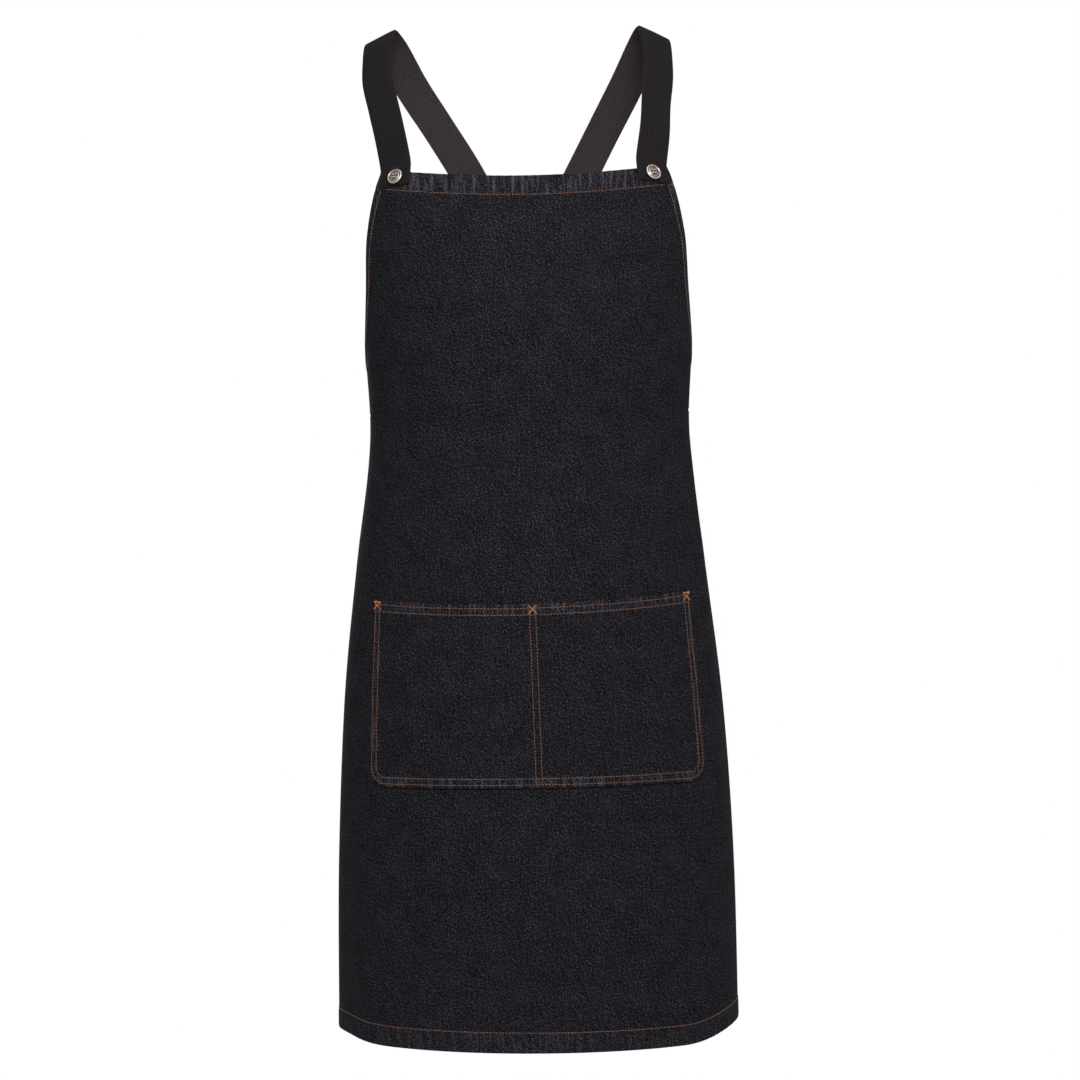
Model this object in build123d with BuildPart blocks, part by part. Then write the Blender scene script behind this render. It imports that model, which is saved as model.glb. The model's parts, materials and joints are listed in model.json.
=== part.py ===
from build123d import *
import math
import os

# A cross-back bib apron as it hangs on a wearer who faces -Y. The origin is midway between the two
# strap crests, level with their highest points, where the shoulders carry them. +Z is up and +X is
# to the right of someone who looks at the front. All lengths are in millimetres.

os.makedirs("parts", exist_ok=True)

# Cloth and webbing
CLOTH = 1.5
STRAP_WIDTH = 38
STRAP_THICKNESS = 1.8
SURFACE_GAP = 0.5

# Trunk that the cloth wraps: level, half width and half depth of each elliptical section
TRUNK = [
    (-140, 168, 76),
    (-180, 182, 99),
    (-240, 181.5, 115),
    (-300, 178, 119),
    (-351, 176, 119),
    (-454, 172, 112),
    (-585, 187, 121),
    (-737, 204.5, 133),
    (-900, 213.5, 141),
    (-1091, 216, 146),
]
SECTION_COUNT = 21

# Panel
PANEL_HALF_WIDTH = 365
BIB_HALF_WIDTH = 154
BIB_CORNER_LEVEL = -165.5
BIB_CENTRE_LEVEL = -179
SIDE_LEVEL = -351
SIDE_REACH = 178
ARMHOLE_FRONT = [(163, -201), (170, -240), (175, -303)]
ARMHOLE_REAR = [(168, -383), (143, -405)]
REAR_CORNER_LEVEL = -425
CUT_REACH = 260

# Pocket
POCKET_TOP = -627
POCKET_BOTTOM = -820
POCKET_TOP_HALF = 166
POCKET_BOTTOM_HALF = 176
POCKET_CORNER_RADIUS = 21
POCKET_SEAM = 8
POCKET_GAPE_TOP = 12
POCKET_GAPE_BOTTOM = 4
DIVIDER_WIDTH = 9

# Bar tacks and stitched boxes
TACK_LENGTH = 12.5
TACK_WIDTH = 1.7
TACK_HEIGHT = 0.7
TACK_DROP = 6
TACK_INSET = 5
THREAD_WIDTH = 1.0
THREAD_HEIGHT = 0.5
STITCHED_BOX = 28

# Strap route on the +X side: points and outward directions, front half then rear half
BUTTON_X = 134.5
BUTTON_LEVEL = -177
TAB_LENGTH = 11.5
TAB_RISE = 12
FRONT_ROUTE = [
    ((145, -45, -125), (0.42, -0.78, 0.46)),
    ((148.5, -22, -89), (0.42, -0.74, 0.53)),
    ((152, 0, -55), (0.40, -0.70, 0.58)),
    ((152.5, 18, -25), (0.40, -0.55, 0.73)),
    ((151.5, 27, -13.5), (0.38, -0.35, 0.86)),
]
CREST = Vector(150, 36, -7.5)
CREST_RUN = Vector(-0.35, 0.94, 0)
CREST_NORMAL = Vector(0.36, 0.134, 0.93)
CREST_GAP = 0.2
REAR_ROUTE = [
    ((146, 46, -10.5), (0.33, 0.35, 0.87), 0),
    ((139, 61, -22), (0.30, 0.60, 0.74), 0),
    ((121, 84, -57), (0.34, 0.76, 0.57), 0),
    ((95, 102, -100), (0.36, 0.84, 0.40), 0),
    ((67, 112, -147), (0.24, 0.95, 0.20), 0),
    ((34, 119, -209), (0.04, 1, 0.06), 1),
    ((0, 122, -270), (0, 1, 0), 1),
    ((-34, 120, -330), (-0.08, 1, -0.02), 1),
    ((-66, 114, -387), (-0.26, 0.96, -0.04), 0),
]
CROSSING_LIFT = 3.4
REAR_SEAT_X = -101
REAR_SEAT_LEVEL = -447
REAR_TAB_HALF = 20
REAR_GAP = 1.1

# Tack button: radii, and heights above the outer face of the cloth along the button's axis
BUTTON_TILT = 8
CAP_RADIUS = 8.75
CAP_BASE = 4.7
CAP_RIM = 7.6
CAP_RECESS = 7.1
CAP_CROWN = 7.9
CAVITY_RADIUS = 6.8
CAVITY_FLOOR = 5.2
CAVITY_ROOF = 6.5
CAP_MOUTH = 3.3
SHANK_RADIUS = 2.6
SHANK_FOOT_RADIUS = 3.6
SHANK_FOOT = 0.6
SHANK_FOOT_TOP = 1.2
SHANK_FLANGE_RADIUS = 6.3
SHANK_FLANGE = 5.35
SHANK_FLANGE_TOP = 5.8
INSERT_RADIUS = 6.0
INSERT_BASE = 5.85
INSERT_TOP = 6.4
NAIL_RADIUS = 1.0
NAIL_TIP = 6.2
NAIL_HEAD_RADIUS = 4.75
NAIL_HEAD_FACE = -2.25
NAIL_HEAD_BACK = -2.95
FIT = 0.05
BUTTONHOLE_RADIUS = 9.8


def widening(index, column):
    """Change per millimetre of level at a stated section of the trunk, from its neighbours."""
    above = TRUNK[max(index - 1, 0)]
    below = TRUNK[min(index + 1, len(TRUNK) - 1)]
    return (above[column] - below[column]) / (above[0] - below[0])


def trunk_section(level):
    """Half width and half depth of the trunk at any level, eased between the stated sections."""
    index = 0
    while index < len(TRUNK) - 2 and TRUNK[index + 1][0] > level:
        index += 1
    span = TRUNK[index + 1][0] - TRUNK[index][0]
    share = (level - TRUNK[index][0]) / span
    ease = share * share * (3 - 2 * share)
    halves = []
    for column in (1, 2):
        start, end = TRUNK[index][column], TRUNK[index + 1][column]
        leaving = widening(index, column) * span * share * (1 - share) ** 2
        arriving = widening(index + 1, column) * span * share**2 * (share - 1)
        halves.append(start + ease * (end - start) + leaving + arriving)
    return halves


def section_levels():
    """Evenly spaced levels from the top of the trunk to the hem."""
    top, bottom = TRUNK[0][0], TRUNK[-1][0]
    return [top + (bottom - top) * index / (SECTION_COUNT - 1) for index in range(SECTION_COUNT)]


def trunk_form(growth):
    """The trunk as a solid, with each section grown outwards by growth(level)."""
    with BuildPart() as form:
        for level in section_levels():
            half_width, half_depth = trunk_section(level)
            with BuildSketch(Plane.XY.offset(level)):
                Ellipse(half_width + growth(level), half_depth + growth(level))
        loft()
    return form.part


def pocket_growth(level):
    """How far the pocket's cloth stands off the panel: most at its mouth."""
    rise = (level - POCKET_BOTTOM) / (POCKET_TOP - POCKET_BOTTOM)
    return CLOTH + max(SURFACE_GAP, POCKET_GAPE_BOTTOM + rise * (POCKET_GAPE_TOP - POCKET_GAPE_BOTTOM))


def surface_at(form, x, level, from_side):
    """Point and outward normal where a line along Y meets the form, from_side -1 in front."""
    line = Axis((x, from_side * CUT_REACH, level), (0, -from_side, 0))
    hits = form.find_intersection_points(line)
    point, normal = min(hits, key=lambda hit: abs(hit[0].Y - from_side * CUT_REACH))
    if normal.Y * from_side < 0:
        normal = -normal
    return point, normal.normalized()


def rear_edge_x(half_width, half_depth):
    """Distance from the centre plane to the panel's rear edge, round an elliptical section."""
    run = 0
    turn = 0
    step = math.radians(0.05)
    while run < PANEL_HALF_WIDTH:
        turn += step
        run += math.hypot(half_width * math.cos(turn), half_depth * math.sin(turn)) * step
    return half_width * math.sin(turn)


def strap_planes(stations):
    """A section plane at each station (point, outward direction), square to the strap's run."""
    points = [Vector(*station[0]) for station in stations]
    planes = []
    for index, (point, outward) in enumerate(stations):
        before = points[max(index - 1, 0)]
        after = points[min(index + 1, len(points) - 1)]
        run = (after - before).normalized()
        across = run.cross(Vector(*outward)).normalized()
        planes.append(Plane(origin=point, x_dir=across, z_dir=run))
    return planes


def flip(vector, side):
    """The same vector on the side that side names, +1 or -1."""
    return Vector(vector.X * side, vector.Y, vector.Z)


inner_form = trunk_form(lambda level: 0)
outer_form = trunk_form(lambda level: CLOTH)
pocket_inner_form = trunk_form(pocket_growth)
pocket_outer_form = trunk_form(lambda level: pocket_growth(level) + CLOTH)

seat, seat_normal = surface_at(outer_form, BUTTON_X, BUTTON_LEVEL, -1)
tilt_axis = Axis((0, 0, 0), Vector(0, 0, 1).cross(seat_normal))
button_axis = seat_normal.rotate(tilt_axis, -BUTTON_TILT)


def button_plane(side):
    """Plane on the cloth under a button, with its Z along the button's axis."""
    return Plane(origin=flip(seat, side), x_dir=(0, 0, 1), z_dir=flip(button_axis, side))


# ---- Apron panel: one sheet of denim round the trunk, open at the back ----
with BuildSketch(Plane.XZ) as bib_cut:
    with BuildLine():
        ThreePointArc(
            (-BIB_HALF_WIDTH, BIB_CORNER_LEVEL), (0, BIB_CENTRE_LEVEL), (BIB_HALF_WIDTH, BIB_CORNER_LEVEL)
        )
        for side in (1, -1):
            Spline(
                (side * BIB_HALF_WIDTH, BIB_CORNER_LEVEL),
                *[(side * x, level) for x, level in ARMHOLE_FRONT],
                (side * SIDE_REACH, SIDE_LEVEL),
            )
        Polyline(
            (SIDE_REACH, SIDE_LEVEL),
            (CUT_REACH, SIDE_LEVEL),
            (CUT_REACH, 0),
            (-CUT_REACH, 0),
            (-CUT_REACH, SIDE_LEVEL),
            (-SIDE_REACH, SIDE_LEVEL),
        )
    make_face()

corner_x = rear_edge_x(*trunk_section(REAR_CORNER_LEVEL))
rear_edge = [(corner_x, REAR_CORNER_LEVEL)]
for level, _, _ in TRUNK:
    if level < REAR_CORNER_LEVEL:
        rear_edge.append((rear_edge_x(*trunk_section(level)), level))

with BuildSketch(Plane.XZ) as rear_cut:
    with BuildLine():
        for side in (1, -1):
            Spline(
                (side * SIDE_REACH, SIDE_LEVEL),
                *[(side * x, level) for x, level in ARMHOLE_REAR],
                (side * corner_x, REAR_CORNER_LEVEL),
            )
            Spline(*[(side * x, level) for x, level in rear_edge])
        Line((rear_edge[-1][0], rear_edge[-1][1]), (-rear_edge[-1][0], rear_edge[-1][1]))
        Polyline(
            (SIDE_REACH, SIDE_LEVEL),
            (CUT_REACH, SIDE_LEVEL),
            (CUT_REACH, 0),
            (-CUT_REACH, 0),
            (-CUT_REACH, SIDE_LEVEL),
            (-SIDE_REACH, SIDE_LEVEL),
        )
    make_face()

with BuildPart() as apron_panel:
    add(outer_form)
    add(inner_form, mode=Mode.SUBTRACT)
    extrude(bib_cut.sketch, amount=CUT_REACH, mode=Mode.SUBTRACT)
    extrude(rear_cut.sketch, amount=-CUT_REACH, mode=Mode.SUBTRACT)
    for side in (1, -1):
        with BuildSketch(button_plane(side).offset(-2 * CLOTH)):
            Circle(NAIL_RADIUS + FIT)
        extrude(amount=4 * CLOTH, mode=Mode.SUBTRACT)

# ---- Patch pocket: front cloth and stitched-down rim, with two open compartments ----
with BuildSketch(Plane.XZ) as pocket_outline:
    Polygon(
        (-POCKET_TOP_HALF, POCKET_TOP),
        (POCKET_TOP_HALF, POCKET_TOP),
        (POCKET_BOTTOM_HALF, POCKET_BOTTOM),
        (-POCKET_BOTTOM_HALF, POCKET_BOTTOM),
        align=None,
    )
    fillet(pocket_outline.vertices().group_by(Axis.Z)[0], POCKET_CORNER_RADIUS)

with BuildSketch(Plane.XZ) as compartments:
    for side in (1, -1):
        Polygon(
            (side * DIVIDER_WIDTH / 2, POCKET_TOP + 1),
            (side * (POCKET_TOP_HALF - POCKET_SEAM), POCKET_TOP + 1),
            (side * (POCKET_BOTTOM_HALF - POCKET_SEAM), POCKET_BOTTOM + POCKET_SEAM),
            (side * DIVIDER_WIDTH / 2, POCKET_BOTTOM + POCKET_SEAM),
            align=None,
        )

with BuildPart() as compartment_space:
    extrude(compartments.sketch, amount=CUT_REACH)
    add(pocket_inner_form, mode=Mode.INTERSECT)

with BuildPart() as patch_pocket:
    extrude(pocket_outline.sketch, amount=CUT_REACH)
    add(pocket_outer_form, mode=Mode.INTERSECT)
    add(outer_form, mode=Mode.SUBTRACT)
    add(compartment_space.part, mode=Mode.SUBTRACT)

# ---- Bar tacks: a stitched cross at each end of the pocket's mouth and at its divider ----
with BuildPart() as pocket_bartacks:
    for x in (-POCKET_TOP_HALF + TACK_INSET, 0, POCKET_TOP_HALF - TACK_INSET):
        point, normal = surface_at(pocket_outer_form, x, POCKET_TOP - TACK_DROP, -1)
        with BuildSketch(Plane(origin=point + normal * FIT, x_dir=(0, 0, 1), z_dir=normal)):
            for turn in (45, -45):
                Rectangle(TACK_LENGTH, TACK_WIDTH, rotation=turn)
        extrude(amount=TACK_HEIGHT)

# ---- Straps: front half from the button to the shoulder, rear half across the back ----
tab_up = Vector(0.14, 0, 1)
tab_run = (tab_up - seat_normal * tab_up.dot(seat_normal)).normalized()
tab_middle = seat + seat_normal * (SURFACE_GAP + STRAP_THICKNESS / 2)
front_stations = [
    (tab_middle - tab_run * TAB_LENGTH, seat_normal),
    (tab_middle, seat_normal),
    (tab_middle + tab_run * TAB_RISE, seat_normal),
]
front_stations += [(Vector(*point), Vector(*outward)) for point, outward in FRONT_ROUTE]

rear_seat, rear_normal = surface_at(outer_form, REAR_SEAT_X, REAR_SEAT_LEVEL, 1)
rear_middle = rear_seat + rear_normal * (REAR_GAP + STRAP_THICKNESS / 2)
rear_down = rear_middle - Vector(*REAR_ROUTE[-1][0])
rear_run = (rear_down - rear_normal * rear_down.dot(rear_normal)).normalized()

strap_fronts = {}
strap_rears = {}
for name, side in (("left", -1), ("right", 1)):
    crest = flip(CREST, side)
    crest_plane = Plane(
        origin=crest,
        x_dir=flip(CREST_RUN, side).cross(flip(CREST_NORMAL, side)),
        z_dir=flip(CREST_RUN, side),
    )
    front_planes = strap_planes([(flip(p, side), flip(n, side)) for p, n in front_stations])
    front_planes.append(crest_plane.offset(-CREST_GAP))
    with BuildPart() as strap_front:
        for plane in front_planes:
            with BuildSketch(plane):
                Rectangle(STRAP_WIDTH, STRAP_THICKNESS)
        loft(ruled=True)
        with BuildSketch(button_plane(side)):
            Circle(BUTTONHOLE_RADIUS)
        extrude(amount=CAP_CROWN, mode=Mode.SUBTRACT)
    strap_fronts[name] = strap_front

    lift = CROSSING_LIFT if side < 0 else 0
    rear_stations = [
        (flip(Vector(*point) + Vector(0, lift * raised, 0), side), flip(Vector(*outward), side))
        for point, outward, raised in REAR_ROUTE
    ]
    for reach in (-REAR_TAB_HALF, REAR_TAB_HALF):
        rear_stations.append((flip(rear_middle + rear_run * reach, side), flip(rear_normal, side)))
    rear_planes = [crest_plane.offset(CREST_GAP)] + strap_planes(rear_stations)
    with BuildPart() as strap_rear:
        for plane in rear_planes:
            with BuildSketch(plane):
                Rectangle(STRAP_WIDTH, STRAP_THICKNESS)
        loft(ruled=True)
    strap_rears[name] = strap_rear

# ---- Stitched boxes that hold the straps to the panel's rear corners ----
with BuildPart() as rear_strap_stitching:
    for side in (1, -1):
        box_origin = flip(rear_middle + rear_normal * (STRAP_THICKNESS / 2 + FIT), side)
        with BuildSketch(Plane(origin=box_origin, x_dir=flip(rear_run, side), z_dir=flip(rear_normal, side))):
            Rectangle(STITCHED_BOX, STITCHED_BOX)
            Rectangle(STITCHED_BOX - 2 * THREAD_WIDTH, STITCHED_BOX - 2 * THREAD_WIDTH, mode=Mode.SUBTRACT)
            for turn in (45, -45):
                Rectangle((STITCHED_BOX - THREAD_WIDTH) * math.sqrt(2), THREAD_WIDTH, rotation=turn)
        extrude(amount=THREAD_HEIGHT)

# ---- Tack buttons: cap, insert, shank and nail along the button's axis ----
button_caps = {}
for name, side in (("left", -1), ("right", 1)):
    base = button_plane(side)
    profile = Plane(origin=base.origin, x_dir=base.x_dir, z_dir=-base.y_dir)
    with BuildPart() as button_cap:
        with BuildSketch(profile):
            with BuildLine():
                Polyline(
                    (0, CAP_CROWN),
                    (0, CAP_BASE),
                    (CAP_RADIUS - 0.5, CAP_BASE),
                    (CAP_RADIUS, CAP_BASE + 0.5),
                    (CAP_RADIUS, CAP_RIM - 0.6),
                    (CAP_RADIUS - 0.3, CAP_RIM - 0.1),
                    (CAP_RADIUS - 0.7, CAP_RIM),
                    (CAP_RADIUS - 1.3, CAP_RIM - 0.15),
                    (CAP_RADIUS - 1.8, CAP_RECESS),
                    (CAP_RADIUS / 2 + 0.2, CAP_RECESS),
                    (CAP_RADIUS / 2, CAP_RECESS + 0.3),
                    (CAP_RADIUS / 4, CAP_CROWN - 0.15),
                    (0, CAP_CROWN),
                )
            make_face()
        revolve(axis=Axis(base.origin, base.z_dir))
        for radius, bottom, top in (
            (CAP_MOUTH, CAP_BASE, CAVITY_FLOOR),
            (CAVITY_RADIUS, CAVITY_FLOOR, CAVITY_ROOF),
        ):
            with BuildSketch(base.offset(bottom)):
                Circle(radius)
            extrude(amount=top - bottom, mode=Mode.SUBTRACT)
    button_caps[name] = button_cap

with BuildPart() as button_shanks:
    for side in (1, -1):
        base = button_plane(side)
        for radius, bottom, top in (
            (SHANK_FOOT_RADIUS, SHANK_FOOT, SHANK_FOOT_TOP),
            (SHANK_RADIUS, SHANK_FOOT_TOP, SHANK_FLANGE),
            (SHANK_FLANGE_RADIUS, SHANK_FLANGE, SHANK_FLANGE_TOP),
        ):
            with BuildSketch(base.offset(bottom)):
                Circle(radius)
                Circle(NAIL_RADIUS + FIT, mode=Mode.SUBTRACT)
            extrude(amount=top - bottom)

with BuildPart() as button_inserts:
    for side in (1, -1):
        with BuildSketch(button_plane(side).offset(INSERT_BASE)):
            Circle(INSERT_RADIUS)
            Circle(NAIL_RADIUS + FIT, mode=Mode.SUBTRACT)
        extrude(amount=INSERT_TOP - INSERT_BASE)

with BuildPart() as button_nails:
    for side in (1, -1):
        base = button_plane(side)
        with BuildSketch(base.offset(NAIL_HEAD_BACK)):
            Circle(NAIL_HEAD_RADIUS)
        extrude(amount=NAIL_HEAD_FACE - NAIL_HEAD_BACK)
        with BuildSketch(base.offset(NAIL_HEAD_FACE)):
            Circle(NAIL_RADIUS)
        extrude(amount=NAIL_TIP - NAIL_HEAD_FACE)

pieces = {
    "apron_panel": apron_panel,
    "patch_pocket": patch_pocket,
    "pocket_bartacks": pocket_bartacks,
    "left_strap_front": strap_fronts["left"],
    "right_strap_front": strap_fronts["right"],
    "left_strap_rear": strap_rears["left"],
    "right_strap_rear": strap_rears["right"],
    "rear_strap_stitching": rear_strap_stitching,
    "left_button_cap": button_caps["left"],
    "right_button_cap": button_caps["right"],
    "button_shanks": button_shanks,
    "button_inserts": button_inserts,
    "button_nails": button_nails,
}
for name, piece in pieces.items():
    piece.part.label = name
    export_step(piece.part, f"parts/{name}.step")

hinge = CREST + CREST_NORMAL.normalized() * (STRAP_THICKNESS / 2)
print("strap fold on the +X side: point", hinge, "axis", CREST_RUN.cross(CREST_NORMAL).normalized())
print("button on the +X side: point", seat, "axis", button_axis)
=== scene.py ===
import math
import random

import bmesh
import bpy
import numpy as np
from mathutils import Matrix, Vector
from mathutils.bvhtree import BVHTree
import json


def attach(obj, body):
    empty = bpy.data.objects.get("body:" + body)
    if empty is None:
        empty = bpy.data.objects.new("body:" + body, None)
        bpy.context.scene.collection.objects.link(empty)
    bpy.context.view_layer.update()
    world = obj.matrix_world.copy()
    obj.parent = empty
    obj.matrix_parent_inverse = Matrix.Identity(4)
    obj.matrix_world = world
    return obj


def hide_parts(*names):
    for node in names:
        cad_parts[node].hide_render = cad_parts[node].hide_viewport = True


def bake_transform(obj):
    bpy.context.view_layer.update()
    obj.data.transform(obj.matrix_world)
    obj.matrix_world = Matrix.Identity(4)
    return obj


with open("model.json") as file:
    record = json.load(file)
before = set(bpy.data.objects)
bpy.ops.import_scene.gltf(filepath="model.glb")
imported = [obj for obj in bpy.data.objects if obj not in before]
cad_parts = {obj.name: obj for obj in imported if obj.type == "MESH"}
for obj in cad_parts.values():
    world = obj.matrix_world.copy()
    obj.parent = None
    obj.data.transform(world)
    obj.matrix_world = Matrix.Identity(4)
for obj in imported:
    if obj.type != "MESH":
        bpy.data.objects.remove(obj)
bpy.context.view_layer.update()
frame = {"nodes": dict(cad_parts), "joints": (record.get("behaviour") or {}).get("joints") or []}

# Lengths are in metres. Cloth is laid out in flat coordinates first: across is the distance round
# the body from the centre front, positive to the right, and level is the height.

# Trunk under the cloth: level, half width and half depth of each elliptical section
TRUNK = [
    (-0.140, 0.168, 0.076),
    (-0.180, 0.182, 0.099),
    (-0.240, 0.1815, 0.115),
    (-0.300, 0.178, 0.119),
    (-0.351, 0.176, 0.119),
    (-0.454, 0.172, 0.112),
    (-0.585, 0.187, 0.121),
    (-0.737, 0.2045, 0.133),
    (-0.900, 0.2135, 0.141),
    (-1.091, 0.216, 0.146),
]
CAD_CLOTH = 0.0015

# Denim sheet
PANEL_HALF_WIDTH = 0.365
HEM_LEVEL = -1.091
HEM_DROP = 0.0028
HEM_TILT = 0.013
HEM_RIGHT_LIFT = 0.0160
HEM_LEFT_LIFT = 0.0045
BIB_CORNER_LEVEL = -0.1655
BIB_CENTRE_DIP = 0.0135
BIB_HALF_WIDTH = 0.160
ARMHOLE = [
    (-0.1655, 0.1600),
    (-0.182, 0.1685),
    (-0.201, 0.1770),
    (-0.222, 0.1860),
    (-0.243, 0.1940),
    (-0.300, 0.2070),
    (-0.351, 0.2290),
    (-0.383, 0.2640),
    (-0.405, 0.305),
    (-0.425, 0.365),
]
CLOTH = 0.0012
HEM_OUT = 0.0005
HEM_IN = 0.0010
SIDE_HEM = 0.010
TOP_HEM = 0.021
BOTTOM_HEM = 0.021
GRID_STEP = 0.0042
HEM_EASE = (0.0002, 0.0010)
HEM_ROW_INSET = SIDE_HEM - 0.0012
TOP_CREASES = [0, 0.0006, 0.002, 0.006, 0.011, 0.016, 0.0198, 0.0206, 0.0214, 0.0226, 0.0255]
SIDE_CREASES = [0, 0.0006, 0.002, 0.005, 0.0085, 0.0096, 0.0104, 0.0112, 0.0135]
PANEL_COLUMNS = 164
STEEPEST_LEAN = 3.0

# Pocket
POCKET_TOP = -0.627
POCKET_BOTTOM = -0.820
POCKET_TOP_HALF = 0.1825
POCKET_BOTTOM_HALF = 0.1915
POCKET_CORNER = 0.021
POCKET_SEAT = 0.0002
POCKET_SEAM = 0.0095
POCKET_PUFF = 0.0035
MOUTH_DIP = 0.0025
MOUTH_RISE = 0.0082
MOUTH_TILT = 0.0022
POCKET_LEAN = 0.0042
POCKET_CREASES = [0, 0.0006, 0.002, 0.004, 0.007, 0.0095, 0.0104, 0.0118, 0.0132, 0.016]
MOUTH_TURNED = (0.0122, 0.0136)
SIDE_TURNED = (0.0100, 0.0114)
TURNED_CLOTH = 0.0008
POCKET_GRID_STEP = 0.004
POCKET_COLUMNS = 88
POCKET_ROW_INSET = 0.0032
MOUTH_ROW_DROP = 0.0045

# Straps
STRAP_WIDTH = 0.038
STRAP_THICKNESS = 0.0017
STRAP_STEP = 0.003
STRAP_COLUMNS = 14
STRAP_CREASES = [0, 0.0005, 0.0015]
STRAP_CAMBER = 0.0004
FRONT_SEATED = 0.045
REAR_SEATED = 0.11
TAB_LENGTH = 0.0088
TAB_RISE = 0.014
TAB_LEAN = 0.08
SEAT_CLEARANCE = 0.0013
REAR_CLEARANCE = 0.0014
TAB_SHIFT = 0.0016
LEFT_TAB_SHIFT = 0.0028
REAR_TWIST = 0.16
REAR_SHIFT = 0.0028
REAR_SHARES = {1: 0.5, 2: 1.1, 3: 1.0, 4: 0.3}
BUTTONHOLE_BELOW = 0.0035
BUTTONHOLE_ABOVE = 0.0145
BUTTONHOLE_SLIT = 0.0003
BUTTONHOLE_SPREAD = 0.0028
BUTTONHOLE_EASE = 0.0042
STRAP_LEAN = -0.0055
LEAN_START = -0.160
LEAN_END = -0.050
FRONT_ROUTE = [
    ((0.1425, -0.045, -0.125), (0.55, -0.70, 0.44)),
    ((0.1480, -0.022, -0.089), (0.57, -0.66, 0.50)),
    ((0.1535, 0.000, -0.055), (0.53, -0.62, 0.58)),
    ((0.1530, 0.018, -0.025), (0.45, -0.52, 0.73)),
    ((0.1515, 0.027, -0.0135), (0.38, -0.35, 0.86)),
    ((0.150, 0.036, -0.0075), (0.36, 0.134, 0.93)),
]
REAR_ROUTE = [
    ((0.146, 0.046, -0.0105), (0.33, 0.35, 0.87), 0),
    ((0.139, 0.061, -0.022), (0.30, 0.60, 0.74), 0),
    ((0.121, 0.084, -0.057), (0.34, 0.76, 0.57), 0),
    ((0.095, 0.102, -0.100), (0.36, 0.84, 0.40), 0),
    ((0.067, 0.112, -0.147), (0.24, 0.95, 0.20), 0),
    ((0.034, 0.119, -0.209), (0.04, 1.0, 0.06), 1),
    ((0.000, 0.122, -0.270), (0.0, 1.0, 0.0), 1),
    ((-0.034, 0.120, -0.330), (-0.08, 1.0, -0.02), 1),
    ((-0.066, 0.114, -0.387), (-0.26, 0.96, -0.04), 0),
]
CROSSING_LIFT = 0.0034
REAR_SEAT_ACROSS = 0.349
REAR_SEAT_LEVEL = -0.447
REAR_TAB_HALF = 0.020
BOX_HALF = 0.014

# Sewing thread
THREAD_RADIUS = 0.00034
STITCH_PITCH = 0.0034
STITCH_LENGTH = 0.0027
DOUBLE_ROW = 0.0064
TACK_INSET = 0.0055
TACK_DROP = 0.0058
TACK_LENGTH = 0.0115
TACK_WIDTH = 0.0015
TACK_THREAD = 0.00024
TACK_TURNS = 22
SATIN_WIDTH = 0.0020
SATIN_THREAD = 0.00026

# Camera and stage
CAMERA_DISTANCE = 3.0
CAMERA_SIDE = 0.010
CAMERA_LEVEL = -0.563
CAMERA_ROLL = 1.0
CAMERA_LENS = 92.0
FLOOR_LEVEL = -1.45
FLOOR_RADIUS = 1.4
AMBIENT = 0.12
REFLECTED = 0.50

SIDES = (("left", -1), ("right", 1))


# ---------------------------------------------------------------- trunk and cloth surface
def hermite(stations, where):
    """Eased values between stations, whose first column is the place, at each place in where."""
    table = np.array(stations, float)
    places, values = table[:, 0], table[:, 1:]
    slopes = np.empty_like(values)
    for i in range(len(places)):
        before, after = max(i - 1, 0), min(i + 1, len(places) - 1)
        slopes[i] = (values[after] - values[before]) / (places[after] - places[before])
    order = np.argsort(places)
    places, values, slopes = places[order], values[order], slopes[order]
    where = np.clip(np.asarray(where, float), places[0], places[-1])
    i = np.clip(np.searchsorted(places, where) - 1, 0, len(places) - 2)
    span = places[i + 1] - places[i]
    t = (where - places[i]) / span
    t, span = t[..., None], span[..., None]
    return (
        (2 * t**3 - 3 * t**2 + 1) * values[i]
        + (t**3 - 2 * t**2 + t) * span * slopes[i]
        + (3 * t**2 - 2 * t**3) * values[i + 1]
        + (t**3 - t**2) * span * slopes[i + 1]
    )


def smooth(value, low, high):
    """0 below low, 1 above high, eased between."""
    t = np.clip((np.asarray(value, float) - low) / (high - low), 0, 1)
    return t * t * (3 - 2 * t)


def ridge(value, centre, width):
    """A soft bump of height 1 round centre."""
    return np.exp(-(((value - centre) / width) ** 2))


def drape(across, level):
    """How far the hanging cloth stands off its plain form: broad soft flutes, deeper lower down."""
    skirt = smooth(-level, 0.50, 1.05)
    flank = smooth(np.abs(across), 0.13, 0.24)
    flutes = np.sin(across * 34 + 0.8) * 0.0030 + np.sin(across * 57 - level * 3 + 2.0) * 0.0012
    fold = 0.0030 * ridge(across, 0.205 + 0.05 * (-level - 0.45), 0.016)
    fold *= smooth(-level, 0.40, 0.50) * (1 - smooth(-level, 0.80, 0.95))
    dent = -0.0022 * ridge(across, -0.165, 0.035) * ridge(level, -0.400, 0.050)
    hollow = -0.0018 * ridge(across, 0.150, 0.030) * ridge(level, -0.430, 0.070)
    chest = 0.0012 * np.sin(across * 21 + level * 9) * (1 - skirt)
    lap = 0.0016 * np.sin(level * 26 + across * 7) * smooth(-level, 0.82, 1.0) * (1 - flank)
    return skirt * flank * flutes + fold + dent + hollow + chest + lap


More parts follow.
